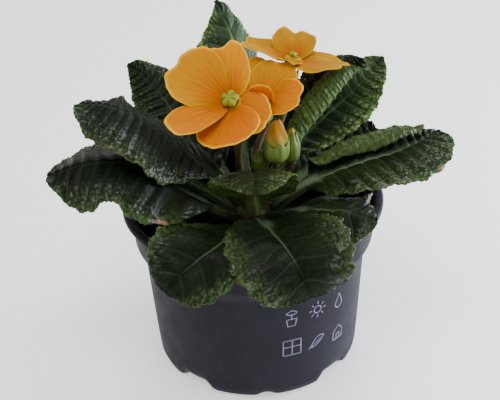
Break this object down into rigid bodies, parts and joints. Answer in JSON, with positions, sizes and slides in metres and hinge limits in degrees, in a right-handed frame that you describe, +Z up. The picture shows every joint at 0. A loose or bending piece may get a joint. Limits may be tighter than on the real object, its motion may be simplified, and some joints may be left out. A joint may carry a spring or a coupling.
{
  "type": "potted primrose",
  "caption": "Leaf rosette with toothed, puckered leaves, yellow-orange blooms with lime green eyes, and green buds, growing in a thin round nursery pot.",
  "frame": {"origin": "centre of the flat disc under the pot's floor", "axes": "+Z up through the plant, -Y towards the plant's front, +X to its right as seen from the front"},
  "size_m": [0.1597, 0.1427, 0.1472],
  "materials": {
    "pot": "charcoal thermoformed polypropylene, smooth with a faint sheen",
    "soil": null,
    "crown": "fleshy green-brown crown; wood stands in for plant tissue",
    "leaf": "glossy dark green puckered leaf; wood stands in for leaf tissue",
    "young_leaf": "glossy mid green young leaf; wood stands in for leaf tissue",
    "stalk": "finely haired green stalk and calyx; wood stands in for plant tissue",
    "petal": "satin yellow-orange petal; wood stands in for petal tissue",
    "eye": "matte lime green flower eye; wood stands in for plant tissue"
  },
  "bodies": {
    "root": {"pot": "pot", "soil": "soil", "crown": "crown", "leaf_back_tall": "leaf", "leaf_back_left": "leaf", "leaf_left": "leaf", "leaf_left_low": "leaf", "leaf_front_left": "leaf", "leaf_front": "leaf", "leaf_front_right": "leaf", "leaf_right": "leaf", "leaf_right_tall": "leaf", "leaf_right_back": "leaf", "leaf_front_young": "young_leaf", "leaf_behind_right": "leaf", "leaf_behind": "leaf", "leaf_behind_left": "leaf", "leaf_far_left": "leaf", "bloom_front_corolla": "petal", "bloom_front_eye": "eye", "bloom_front_stalk": "stalk", "bloom_middle_corolla": "petal", "bloom_middle_eye": "eye", "bloom_middle_stalk": "stalk", "bloom_back_corolla": "petal", "bloom_back_eye": "eye", "bloom_back_stalk": "stalk", "bud_opening_calyx": "stalk", "bud_opening_petals": "petal", "bud_right_calyx": "stalk", "bud_right_petals": "petal", "bud_small_calyx": "stalk", "bud_small_petals": "petal"}
  },
  "joints": []
}
